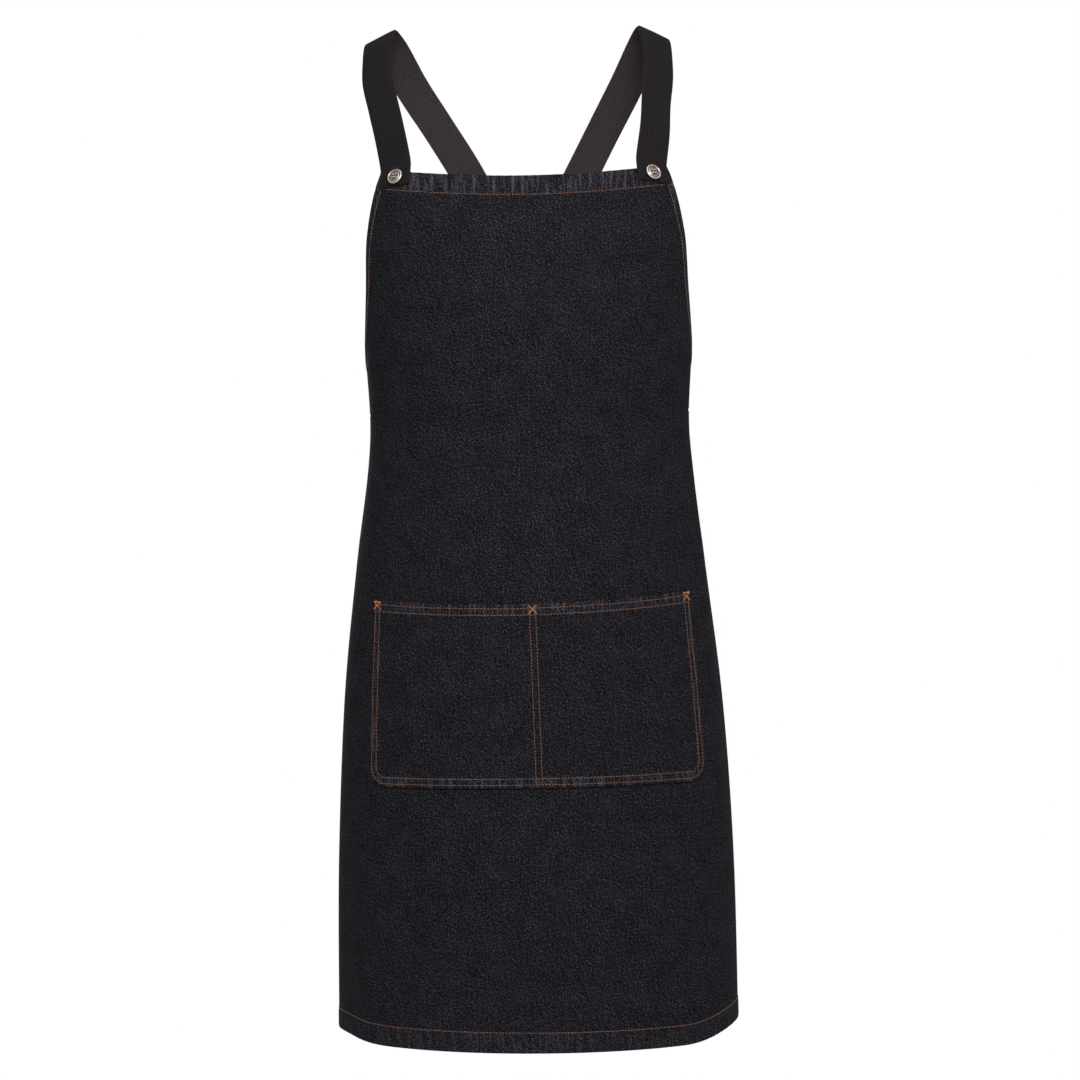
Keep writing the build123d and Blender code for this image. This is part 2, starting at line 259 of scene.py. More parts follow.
class ClothForm:
    """The outer face of the hanging cloth as a fine grid over flat coordinates."""

    def __init__(self, step=0.0025):
        self.levels = np.arange(-0.155, HEM_LEVEL - 0.012, -step)
        self.across = np.arange(-0.39, 0.39 + step, step)
        rows = []
        turns = np.linspace(0, math.pi * 0.98, 3000)
        halves = hermite(TRUNK, self.levels) + CAD_CLOTH
        for level, (half_width, half_depth) in zip(self.levels, halves):
            pace = np.hypot(half_width * np.cos(turns), half_depth * np.sin(turns))
            run = np.concatenate([[0], np.cumsum((pace[1:] + pace[:-1]) / 2 * np.diff(turns))])
            turn = np.interp(np.abs(self.across), run, turns) * np.sign(self.across)
            x, y = half_width * np.sin(turn), -half_depth * np.cos(turn)
            rows.append(np.stack([x, y, np.full_like(x, level)], 1))
        plain = np.array(rows)
        stand_off = drape(*np.meshgrid(self.across, self.levels))
        self.points = plain + self.face_normals(plain) * stand_off[..., None]
        self.normals = self.face_normals(self.points)

    @staticmethod
    def face_normals(points):
        down = np.gradient(points, axis=0)
        right = np.gradient(points, axis=1)
        normals = np.cross(down, right)
        return normals / np.linalg.norm(normals, axis=-1, keepdims=True)

    def sample(self, grid, across, level):
        row, column = (
            np.clip((np.asarray(place, float) - line[0]) / (line[1] - line[0]), 0, len(line) - 1.001)
            for place, line in ((level, self.levels), (across, self.across))
        )
        i, j = row.astype(int), column.astype(int)
        u, v = (row - i)[..., None], (column - j)[..., None]
        upper = grid[i, j] * (1 - v) + grid[i, j + 1] * v
        lower = grid[i + 1, j] * (1 - v) + grid[i + 1, j + 1] * v
        return upper * (1 - u) + lower * u

    def at(self, across, level, height=0.0):
        """Points and normals of the cloth's outer face, raised by height."""
        normals = self.sample(self.normals, across, level)
        normals /= np.linalg.norm(normals, axis=-1, keepdims=True)
        points = self.sample(self.points, across, level)
        return points + normals * np.asarray(height, float)[..., None], normals


cloth = ClothForm()


def edge_across(level):
    """Flat distance from the centre front to the panel's side edge at a level."""
    level = np.asarray(level, float)
    armhole = hermite(ARMHOLE, level)[..., 0]
    return np.where(level < ARMHOLE[-1][0], PANEL_HALF_WIDTH, np.minimum(armhole, PANEL_HALF_WIDTH))


def hem_level(across):
    """Level of the panel's bottom edge, which hangs a little unevenly and lifts at both sides."""
    tilt = -HEM_TILT * np.clip(across, -0.2, 0.2)
    lift = HEM_RIGHT_LIFT * smooth(across, 0.16, 0.27) + HEM_LEFT_LIFT * smooth(-across, 0.16, 0.27)
    return HEM_LEVEL - HEM_DROP + tilt + lift


def top_level(across):
    """Level of the bib's top edge, which dips at the centre."""
    share = np.clip(np.abs(across) / BIB_HALF_WIDTH, 0, 1)
    return BIB_CORNER_LEVEL - BIB_CENTRE_DIP * (1 - share**2)


# ---------------------------------------------------------------- mesh helpers
def deselect():
    bpy.ops.object.select_all(action="DESELECT")


def outward(mesh):
    """Recalculates a closed mesh's normals so that they point outwards."""
    work = bmesh.new()
    work.from_mesh(mesh)
    bmesh.ops.recalc_face_normals(work, faces=work.faces)
    work.to_mesh(mesh)
    work.free()


def mesh_object(name, points, faces):
    mesh = bpy.data.meshes.new(name)
    mesh.from_pydata([tuple(p) for p in points], [], [tuple(f) for f in faces])
    mesh.validate()
    mesh.update()
    piece = bpy.data.objects.new(name, mesh)
    bpy.context.scene.collection.objects.link(piece)
    mesh.polygons.foreach_set("use_smooth", [True] * len(mesh.polygons))
    outward(mesh)
    return piece


def add_uv(piece, flat):
    """A UV map in metres, from one flat (across, level) pair for each vertex."""
    layer = piece.data.uv_layers.new(name="flat")
    corner = np.zeros(len(piece.data.loops), np.int32)
    piece.data.loops.foreach_get("vertex_index", corner)
    layer.data.foreach_set("uv", np.asarray(flat, np.float32)[corner].ravel())


def add_attribute(piece, name, values):
    attribute = piece.data.attributes.new(name, "FLOAT", "POINT")
    attribute.data.foreach_set("value", np.asarray(values, np.float32).ravel())


def double_sheet(name, outer, inner, flat, hem=None, holes=()):
    """A closed sheet from two grids of points, outer and inner, joined round the rim and the holes.
    holes are faces of the grid that are left out, as (row, column)."""
    rows, columns = outer.shape[:2]
    count = rows * columns

    def index(i, j, face):
        return face * count + i * columns + j

    present = np.ones((rows - 1, columns - 1), bool)
    for i, j in holes:
        present[i, j] = False
    faces = []
    for i in range(rows - 1):
        for j in range(columns - 1):
            if not present[i, j]:
                continue
            corners = ((i, j), (i + 1, j), (i + 1, j + 1), (i, j + 1))
            faces.append([index(*corner, 0) for corner in corners])
            faces.append([index(*corners[k], 1) for k in (0, 3, 2, 1)])
            sides = (
                (0, 3, i == 0 or not present[i - 1, j]),
                (2, 1, i == rows - 2 or not present[i + 1, j]),
                (1, 0, j == 0 or not present[i, j - 1]),
                (3, 2, j == columns - 2 or not present[i, j + 1]),
            )
            for a, b, open_side in sides:
                if open_side:
                    start, end = corners[a], corners[b]
                    faces.append([index(*start, 0), index(*end, 0), index(*end, 1), index(*start, 1)])
    points = np.concatenate([outer.reshape(-1, 3), inner.reshape(-1, 3)])
    piece = mesh_object(name, points, faces)
    add_uv(piece, np.concatenate([flat.reshape(-1, 2)] * 2))
    if hem is not None:
        add_attribute(piece, "hem", np.concatenate([hem.ravel()] * 2))
    add_attribute(piece, "inside", np.repeat([0.0, 1.0], count))
    return piece


def spaced(low, high, step, edge):
    """Places from low to high about a step apart, with extra ones at stated distances from both ends."""
    edge = np.array(edge, float)
    inner_low, inner_high = low + edge[-1], high - edge[-1]
    count = max(2, int(round((inner_high - inner_low) / step)) + 1)
    middle = np.linspace(inner_low, inner_high, count)
    return np.concatenate([low + edge[:-1], middle, (high - edge[:-1])[::-1]])


# ---------------------------------------------------------------- materials
class Finish:
    """One material and the nodes that are added to it."""

    def __init__(self, name, roughness, specular=None):
        self.material = bpy.data.materials.new(name)
        self.material.use_nodes = True
        self.nodes = self.material.node_tree.nodes
        self.links = self.material.node_tree.links
        self.shader = self.nodes["Principled BSDF"]
        self.shader.inputs["Roughness"].default_value = roughness
        if specular is not None:
            self.shader.inputs["Specular IOR Level"].default_value = specular

    def link(self, value, socket):
        self.links.new(value, self.shader.inputs[socket])

    def math(self, operation, *values):
        node = self.nodes.new("ShaderNodeMath")
        node.operation = operation
        for socket, value in zip(node.inputs, values):
            if isinstance(value, (int, float)):
                socket.default_value = value
            else:
                self.links.new(value, socket)
        return node.outputs[0]

    def add(self, value, share, base):
        """Base plus a share of value."""
        return self.math("MULTIPLY_ADD", value, share, base)

    def wave(self, place, pitch):
        """A wave from 0 to 1 that repeats at a pitch."""
        return self.add(self.math("SINE", self.math("MULTIPLY", place, 2 * math.pi / pitch)), 0.5, 0.5)

    def noise(self, vector, scale, detail=2.0, roughness=0.5):
        node = self.nodes.new("ShaderNodeTexNoise")
        node.inputs["Scale"].default_value = scale
        node.inputs["Detail"].default_value = detail
        node.inputs["Roughness"].default_value = roughness
        self.links.new(vector, node.inputs["Vector"])
        return node.outputs["Fac"]

    def mapped(self, vector, setting, value):
        node = self.nodes.new("ShaderNodeMapping")
        node.inputs[setting].default_value = value
        self.links.new(vector, node.inputs["Vector"])
        return node.outputs[0]

    def streaks(self, vector, stretch, detail=2.0, roughness=0.6):
        return self.noise(self.mapped(vector, "Scale", stretch), 1.0, detail, roughness)

    def ramp(self, value, stops):
        node = self.nodes.new("ShaderNodeValToRGB")
        elements = node.color_ramp.elements
        while len(elements) < len(stops):
            elements.new(0.5)
        for element, (place, colour) in zip(elements, stops):
            element.position = place
            element.color = (*colour, 1)
        self.links.new(value, node.inputs[0])
        return node.outputs[0]

    def mix(self, share, first, second):
        node = self.nodes.new("ShaderNodeMix")
        node.data_type = "RGBA"
        for value, socket in ((share, 0), (first, 6), (second, 7)):
            self.links.new(value, node.inputs[socket])
        return node.outputs[2]

    def bump(self, height, distance):
        node = self.nodes.new("ShaderNodeBump")
        node.inputs["Strength"].default_value = 1.0
        node.inputs["Distance"].default_value = distance
        self.links.new(height, node.inputs["Height"])
        self.link(node.outputs["Normal"], "Normal")

    def flat_place(self):
        """Flat coordinates of the cloth: both, across and along."""
        uv = self.nodes.new("ShaderNodeUVMap")
        uv.uv_map = "flat"
        split = self.nodes.new("ShaderNodeSeparateXYZ")
        self.links.new(uv.outputs[0], split.inputs[0])
        return uv.outputs[0], split.outputs[0], split.outputs[1]

    def solid_place(self):
        return self.nodes.new("ShaderNodeTexCoord").outputs["Object"]

    def attribute(self, name):
        node = self.nodes.new("ShaderNodeAttribute")
        node.attribute_name = name
        return node.outputs["Fac"]


WALE = 0.00125
TWILL_SLOPE = 0.62
TWILL_TURN = math.radians(38)
TAPE_RIB = 0.0016
TAPE_FOLD = 0.0048
YARNS = [(0.42, (0.0032, 0.0029, 0.0039)), (0.50, (0.0160, 0.0146, 0.0195)), (0.62, (0.090, 0.086, 0.108))]
TAPE_OUTSIDE = [
    (0.34, (0.0072, 0.0054, 0.0061)),
    (0.50, (0.0140, 0.0110, 0.0121)),
    (0.70, (0.033, 0.027, 0.030)),
]
# Painted light: colours of the tape's inner face, lighter than the outer face to stand for the light that
# falls on it
TAPE_INSIDE_PAINTED_LIGHT = [
    (0.34, (0.030, 0.0225, 0.0262)),
    (0.50, (0.055, 0.0425, 0.0485)),
    (0.70, (0.095, 0.076, 0.085)),
]


def denim_material():
    """Black stretch denim: diagonal twill wales, uneven grey and black yarns and roping at the hems."""
    denim = Finish("black_denim", 0.88, 0.08)
    flat, across, level = denim.flat_place()
    diagonal = denim.add(level, TWILL_SLOPE, across)
    wales = denim.wave(denim.add(denim.noise(flat, 260), WALE * 0.8, diagonal), WALE)
    twill = denim.streaks(denim.mapped(flat, "Rotation", (0, 0, TWILL_TURN)), (860, 400, 1))
    speckle = denim.noise(flat, 760, 2, 0.6)
    slubs = denim.streaks(flat, (520, 46, 1), 3)
    mottling = denim.noise(flat, 36, 4, 0.6)
    light = denim.add(twill, 0.52, -0.045)
    for pattern, share in ((speckle, 0.46), (slubs, 0.10), (wales, 0.06), (mottling, 0.08)):
        light = denim.add(pattern, share, light)
    light = denim.math("ADD", light, -0.085)
    roping = denim.streaks(flat, (270, 30, 1))
    worn = denim.math("MAXIMUM", denim.add(roping, 0.55, -0.255), 0.0)
    light = denim.math("ADD", light, denim.math("MULTIPLY", worn, denim.attribute("hem")))
    light = denim.add(denim.attribute("inside"), 0.03, light)
    denim.link(denim.ramp(light, YARNS), "Base Color")
    height = denim.add(wales, 0.5, denim.math("ADD", twill, speckle))
    denim.bump(denim.add(roping, 1.2, height), 0.00030)
    return denim.material


def tape_material():
    """Matte black cotton tape in a fine herringbone, with painted light on the side that faces the wearer:
    that face is coloured lighter to stand for the light that falls on it.
    """
    tape = Finish("black_tape", 0.82, 0.15)
    flat, across, along = tape.flat_place()
    ribs = tape.wave(tape.math("ADD", along, tape.math("PINGPONG", across, TAPE_FOLD)), TAPE_RIB)
    grain = tape.noise(flat, 620, 3, 0.6)
    lint = tape.streaks(flat, (300, 60, 1), 3)
    light = tape.add(lint, 0.15, tape.add(grain, 0.75, tape.math("MULTIPLY", ribs, 0.10)))
    outside, inside = (tape.ramp(light, stops) for stops in (TAPE_OUTSIDE, TAPE_INSIDE_PAINTED_LIGHT))
    # The inner face takes the lighter ramp, which is painted light
    tape.link(tape.mix(tape.attribute("inside"), outside, inside), "Base Color")
    tape.bump(tape.add(ribs, 0.6, grain), 0.00018)
    return tape.material


def thread_material(name, dark, light):
    """Twisted polyester thread, with a strand pattern and uneven dye."""
    thread = Finish(name, 0.55)
    place = thread.solid_place()
    strands = thread.noise(place, 2600)
    dye = thread.noise(place, 60, 3)
    tone = thread.add(strands, 0.6, thread.math("MULTIPLY", dye, 0.5))
    thread.link(thread.ramp(tone, [(0.35, dark), (0.75, light)]), "Base Color")
    thread.shader.inputs["Sheen Weight"].default_value = 0.1
    thread.bump(strands, 0.0001)
    return thread.material


def metal_material(name, dark, light, roughness):
    """Plated metal: tarnish in patches and in its hollows, and fine scratches."""
    metal = Finish(name, roughness)
    place = metal.solid_place()
    tarnish = metal.noise(place, 700, 4, 0.6)
    scratches = metal.streaks(place, (900, 5200, 900), 3, 0.7)
    tone = metal.add(metal.attribute("hollow"), -0.45, tarnish)
    metal.link(metal.ramp(tone, [(0.10, dark), (0.60, light)]), "Base Color")
    metal.shader.inputs["Metallic"].default_value = 1.0
    metal.link(metal.add(scratches, 0.25, roughness - 0.12), "Roughness")
    metal.bump(scratches, 0.00002)
    return metal.material


def plastic_material():
    """Pale moulded plastic, faintly mottled."""
    plastic = Finish("insert_plastic", 0.6)
    mould = plastic.noise(plastic.solid_place(), 1800, 3)
    plastic.link(plastic.ramp(mould, [(0.3, (0.42, 0.40, 0.36)), (0.7, (0.55, 0.53, 0.49))]), "Base Color")
    plastic.bump(mould, 0.00003)
    return plastic.material


MATERIALS = {
    "black_denim": denim_material(),
    "black_tape": tape_material(),
    "orange_thread": thread_material("orange_thread", (0.50, 0.19, 0.06), (0.88, 0.40, 0.15)),
    "brown_thread": thread_material("brown_thread", (0.22, 0.085, 0.036), (0.46, 0.195, 0.085)),
    "black_thread": thread_material("black_thread", (0.008, 0.007, 0.007), (0.025, 0.022, 0.022)),
    "antique_nickel": metal_material("antique_nickel", (0.15, 0.11, 0.095), (0.84, 0.725, 0.67), 0.34),
    "brass": metal_material("brass", (0.30, 0.20, 0.08), (0.62, 0.46, 0.22), 0.35),
    "nail_aluminium": metal_material("nail_aluminium", (0.45, 0.45, 0.46), (0.70, 0.70, 0.71), 0.38),
    "insert_plastic": plastic_material(),
}


def dress(piece, material):
    piece.data.materials.clear()
    piece.data.materials.append(MATERIALS[material])


# ---------------------------------------------------------------- apron panel
def panel_grid():
    """Flat coordinates of the panel's grid, with extra rows and columns at its hems."""
    low = BIB_CORNER_LEVEL
    side_creases = np.array(SIDE_CREASES)
    across, level = [], []
    for drop in spaced(0, low - HEM_LEVEL, GRID_STEP, TOP_CREASES):
        share = drop / (low - HEM_LEVEL)
        half = float(edge_across(low - drop))
        slope = abs(half - float(edge_across(min(low - drop + 0.002, low)))) / 0.002
        distances = side_creases * min(math.hypot(1, slope), STEEPEST_LEAN)
        middle = np.linspace(-half + distances[-1], half - distances[-1], PANEL_COLUMNS)
        row = np.concatenate([-half + distances[:-1], middle, (half - distances[:-1])[::-1]])
        dip = (top_level(row) - low) * (1 - smooth(share, 0.03, 0.5))
        hang = (hem_level(row) - HEM_LEVEL) * smooth(share, 0.6, 0.975)
        across.append(row)
        level.append(low - drop + dip + hang)
    return np.array(across), np.array(level)


def hem_masks(across, level):
    """How much each flat point belongs to a turned hem, from 0 to 1."""
    half = edge_across(level)
    slope = np.abs(edge_across(level + 0.002) - half) / 0.002
    side = (half - np.abs(across)) / np.minimum(np.hypot(1, slope), STEEPEST_LEAN)
    top = top_level(across) - level
    bottom = level - hem_level(across)
    hems = ((side, SIDE_HEM), (top, TOP_HEM), (bottom, BOTTOM_HEM))
    parts = [1 - smooth(inset, hem - HEM_EASE[0], hem + HEM_EASE[1]) for inset, hem in hems]
    return np.max(parts, axis=0), side, top, bottom


def rolled_rim(*insets):
    """How far the outer face drops at a sheet's edges, from the distances to them."""
    return -0.0004 * sum(ridge(inset, 0, 0.0008) for inset in insets)


def panel_height(across, level):
    """Height of the panel's outer face over the plain cloth: hems, roping and the pull of the stitches."""
    mask, side, top, bottom = hem_masks(across, level)
    roping = np.sin(across * 610 + np.sin(across * 90) * 2) * 0.00016
    roping *= np.maximum(1 - smooth(top, 0.019, 0.022), 1 - smooth(bottom, 0.019, 0.022))
    pull = -0.00035 * (ridge(top, TOP_HEM, 0.0014) + ridge(bottom, BOTTOM_HEM, 0.0014))
    return mask * HEM_OUT + roping + pull + rolled_rim(side, top, bottom)


def apron_panel():
    across, level = panel_grid()
    mask = hem_masks(across, level)[0]
    height = panel_height(across, level)
    outer, normals = cloth.at(across, level, height)
    depth = CLOTH + height + mask * HEM_IN
    inner = outer - normals * depth[..., None]
    flat = np.stack([across, level], -1)
    tint = mask * (1 - 0.55 * smooth(-level, 1.0, 1.05))
    piece = double_sheet("apron_panel_cloth", outer, inner, flat, tint)
    dress(piece, "black_denim")
    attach(piece, "apron")
    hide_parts("apron_panel")
    widths = 2 * edge_across(np.linspace(BIB_CORNER_LEVEL, HEM_LEVEL, 400))


# ---------------------------------------------------------------- pocket
def pocket_place(across, level):
    """Where the pocket's cloth is sewn on: its mouth sags between its corners, and it leans a little."""
    share = np.clip((level - POCKET_BOTTOM) / (POCKET_TOP - POCKET_BOTTOM), 0, 1)
    reach = across / POCKET_TOP_HALF
    rise = share * (MOUTH_RISE * reach**2 + MOUTH_TILT * reach - MOUTH_DIP)
    return across + POCKET_LEAN * (1.2 - share), level + rise


def pocket_half(level):
    """Half width of the pocket at a level, with its bottom corners rounded."""
    share = np.clip((POCKET_TOP - level) / (POCKET_TOP - POCKET_BOTTOM), 0, 1)
    half = POCKET_TOP_HALF + share * (POCKET_BOTTOM_HALF - POCKET_TOP_HALF)
    rise = np.clip(level - POCKET_BOTTOM, 0, POCKET_CORNER)
    return half - (POCKET_CORNER - np.sqrt(POCKET_CORNER**2 - (POCKET_CORNER - rise) ** 2))


def pocket_lift(across, level):
    """How far the pocket's cloth stands off the panel between its seams."""
    share = np.clip((level - POCKET_BOTTOM - POCKET_SEAM) / (POCKET_TOP - POCKET_BOTTOM), 0, 1)
    half = pocket_half(level) - POCKET_SEAM
    between = np.clip(np.abs(across) / half, 0, 1)
    arch = np.sin(math.pi * np.clip((between * half - 0.006) / (half - 0.006), 0, 1)) ** 0.8
    return POCKET_SEAT + POCKET_PUFF * arch * (0.25 + 0.75 * share**1.5) * smooth(share, 0, 0.12)


def pocket_height(across, level):
    """Height of the pocket's outer face over the panel."""
    top = POCKET_TOP - level
    side = pocket_half(level) - np.abs(across)
    bottom = level - POCKET_BOTTOM
    turned = 1 - smooth(top, *MOUTH_TURNED)
    for inset in (side, bottom):
        turned = np.maximum(turned, 1 - smooth(inset, *SIDE_TURNED))
    height = pocket_lift(across, level) + CLOTH + TURNED_CLOTH * turned
    return height + rolled_rim(side, top, bottom), turned


def pocket_face(across, level):
    return pocket_height(across, level)[0]


def patch_pocket():
    across, level = [], []
    for drop in spaced(0, POCKET_TOP - POCKET_BOTTOM, POCKET_GRID_STEP, POCKET_CREASES):
        half = float(pocket_half(np.array(POCKET_TOP - drop)))
        step = 2 * (half - POCKET_CREASES[-1]) / POCKET_COLUMNS
        row = spaced(-half, half, step, POCKET_CREASES)
        across.append(row)
        level.append(np.full_like(row, POCKET_TOP - drop))
    across, level = np.array(across), np.array(level)
    height, turned = pocket_height(across, level)
    outer, normals = cloth.at(*pocket_place(across, level), height)
    inner = outer - normals * (height - pocket_lift(across, level))[..., None]
    flat = np.stack([across, level + 0.003], -1)
    piece = double_sheet("patch_pocket_cloth", outer, inner, flat, turned)
    dress(piece, "black_denim")
    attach(piece, "apron")
    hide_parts("patch_pocket")


# ---------------------------------------------------------------- stitching
def thread_piece(name, stitches, material, body):
    """A piece of many stitches, from their vertices and faces."""
    piece = mesh_object(name, *stitches)
    dress(piece, material)
    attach(piece, body)
    return piece


def even_path(points, pitch):
    """Places along a flat polyline, evenly spaced, with the direction at each."""
    points = np.array(points, float)
    lengths = np.concatenate([[0], np.cumsum(np.linalg.norm(np.diff(points, axis=0), axis=1))])
    count = max(2, int(round(lengths[-1] / pitch)))
    places = (np.arange(count) + 0.5) * lengths[-1] / count
    spots, ahead, behind = (
        np.stack([np.interp(places + shift, lengths, points[:, k]) for k in (0, 1)], 1)
        for shift in (0, pitch * 0.2, -pitch * 0.2)
    )
    runs = ahead - behind
    return spots, runs / np.linalg.norm(runs, axis=1, keepdims=True)


# Rings of one stitch: place along it, girth and rise, in shares of its length and radius
STITCH_RINGS = (
    (-0.5, 0.45, -1.3),
    (-0.36, 0.95, -0.35),
    (0.0, 1.0, 0.0),
    (0.36, 0.95, -0.35),
    (0.5, 0.45, -1.3),
)


def stitch_mesh(points, normals, runs, length, radius):
    """Vertices and faces of one short thread for each point: a six-sided bar that dives at its ends."""
    across = np.cross(normals, runs)
    across /= np.linalg.norm(across, axis=1, keepdims=True)
    vertices, faces = [], []
    turns = [math.radians(60 * k) for k in range(6)]
    for point, normal, run, side in zip(points, normals, runs, across):
        base = len(vertices)
        for along, girth, rise in STITCH_RINGS:
            centre = point + run * along * length + normal * radius * (rise + 0.35)
            for turn in turns:
                offset = side * math.cos(turn) + normal * math.sin(turn) * 0.8
                vertices.append(centre + offset * radius * girth)
        for ring in range(len(STITCH_RINGS) - 1):
            for k in range(6):
                a, b = base + ring * 6 + k, base + ring * 6 + (k + 1) % 6
                faces.append((a, b, b + 6, a + 6))
        faces.append([base + k for k in range(5, -1, -1)])
        faces.append([base + 6 * (len(STITCH_RINGS) - 1) + k for k in range(6)])
    return vertices, faces


def sew(name, rows, height, place=lambda across, level: (across, level)):
    """Rows of stitches along flat polylines, on the face that height(across, level) gives."""
    vertices, faces = [], []
    wobble = random.Random(name)
    for row in rows:
        spots, runs = even_path(row, STITCH_PITCH)
        jitter = np.array([[wobble.uniform(-1, 1), wobble.uniform(-1, 1)] for _ in spots]) * 0.00012
        spots = spots + jitter
        rise = height(spots[:, 0], spots[:, 1])
        ahead = spots + runs * 0.001
        points, normals = cloth.at(*place(*spots.T), rise)
        ends, _ = cloth.at(*place(*ahead.T), rise)
        run3 = ends - points
        run3 /= np.linalg.norm(run3, axis=1, keepdims=True)
        more, more_faces = stitch_mesh(points, normals, run3, STITCH_LENGTH, THREAD_RADIUS)
        faces += [[i + len(vertices) for i in face] for face in more_faces]
        vertices += more
    thread_piece(name, (vertices, faces), "brown_thread", "apron")


def side_row(side, inset, start, end):
    """Flat polyline down one side edge of the panel, at an inset, between two levels."""
    levels = np.concatenate([np.linspace(start, -0.43, 120), np.linspace(-0.4305, end, 60)])
    half = edge_across(levels)
    slope = (edge_across(levels + 0.001) - edge_across(levels - 0.001)) / 0.002
    lean = np.hypot(1, slope)
    return [(side * (h - inset / n), z + inset * g / n) for h, z, n, g in zip(half, levels, lean, slope)]


def panel_stitching():
    """One row inside each hem of the panel."""
    reach = float(edge_across(BIB_CORNER_LEVEL - TOP_HEM)) - 0.002
    columns = np.linspace(-reach, reach, 60)
    rows = [[(x, float(top_level(x)) - TOP_HEM) for x in columns]]
    columns = np.linspace(-PANEL_HALF_WIDTH + 0.003, PANEL_HALF_WIDTH - 0.003, 160)
    rows.append([(x, float(hem_level(x)) + BOTTOM_HEM) for x in columns])
    for _, side in SIDES:
        armhole = side_row(side, HEM_ROW_INSET, BIB_CORNER_LEVEL - 0.003, -0.4245)
        rows.append([p for p in armhole if p[1] > -0.433])
        edge = side * (PANEL_HALF_WIDTH - HEM_ROW_INSET)
        rows.append([(edge, -0.434), (edge, HEM_LEVEL + 0.002)])
    sew("hem_topstitching", rows, panel_height)


def pocket_outline(inset):
    """Flat polyline down the left side, round the bottom corners and up the right side of the pocket."""
    radius = POCKET_CORNER - inset
    low = POCKET_BOTTOM + inset
    top_half, bottom_half = POCKET_TOP_HALF - inset, POCKET_BOTTOM_HALF - inset
    points = [(-top_half, POCKET_TOP - 0.001)]
    for side, turns in ((-1, range(180, 271, 9)), (1, range(270, 361, 9))):
        for turn in turns:
            angle = math.radians(turn)
            centre = (side * (bottom_half - radius - 0.0009), low + radius)
            points.append((centre[0] + radius * math.cos(angle), centre[1] + radius * math.sin(angle)))
    points.append((top_half, POCKET_TOP - 0.001))
    return points


def pocket_stitching():
    """Double rows round the pocket, under its mouth and down its middle."""
    rows = [pocket_outline(inset) for inset in (POCKET_ROW_INSET, POCKET_ROW_INSET + DOUBLE_ROW)]
    end = POCKET_TOP_HALF - 0.002
    for drop in (MOUTH_ROW_DROP, MOUTH_ROW_DROP + DOUBLE_ROW + 0.0006):
        rows.append([(-end, POCKET_TOP - drop), (end, POCKET_TOP - drop)])
    for x in (-DOUBLE_ROW / 2, DOUBLE_ROW / 2):
        rows.append([(x, POCKET_TOP - 0.006), (x, POCKET_BOTTOM + 0.003)])
    sew("pocket_topstitching", rows, pocket_face, pocket_place)


def tack_bars(end):
    """The bars of one tack: lean, offset upwards, lift and length. An end tack has a third, level bar."""
    tilt, span = (54, TACK_LENGTH * 1.15) if end else (44, TACK_LENGTH)
    bars = [(tilt, 0, 0.00045, span), (-tilt, 0, 0.0002, span)]
    return bars + [(90, 0.0038, 0.0003, span * 0.6)] if end else bars


def pocket_bartacks():
    """A satin-stitched cross at each end of the pocket's mouth and at its middle."""
    vertices, faces = [], []
    inset = POCKET_TOP_HALF - TACK_INSET
    for x in (-inset, 0.0, inset):
        centre = np.array([x, POCKET_TOP - TACK_DROP])
        for lean, start, lift, length in tack_bars(end=x != 0):
            run = np.array([math.sin(math.radians(lean)), math.cos(math.radians(lean))])
            cross = np.array([run[1], -run[0]])
            for k in range(TACK_TURNS):
                spot = centre + (0, start) + run * (k / (TACK_TURNS - 1) - 0.5) * length
                rise = pocket_face(*spot) + lift
                point, normal = cloth.at(*pocket_place(*spot), rise)
                ahead = spot + (cross + run * (0.4 if k % 2 else -0.4)) * 0.001
                end, _ = cloth.at(*pocket_place(*ahead), rise)
                direction = (end - point) / np.linalg.norm(end - point)
                more, more_faces = stitch_mesh([point], [normal], [direction], TACK_WIDTH, TACK_THREAD)
                faces += [[i + len(vertices) for i in f] for f in more_faces]
                vertices += more
    piece = thread_piece("pocket_mouth_bartacks", (vertices, faces), "orange_thread", "apron")
    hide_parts("pocket_bartacks")


# ---------------------------------------------------------------- straps
def joint_named(name):
    return next(joint for joint in frame["joints"] if joint["name"] == name)


def unit(vector):
    vector = np.asarray(vector, float)
    return vector / np.linalg.norm(vector)


def flat_spot(point):
    """Flat coordinates of the cloth point nearest to a point in space."""
    gap = np.linalg.norm(cloth.points - np.asarray(point, float), axis=2)
    i, j = np.unravel_index(np.argmin(gap), gap.shape)
    return float(cloth.across[j]), float(cloth.levels[i])


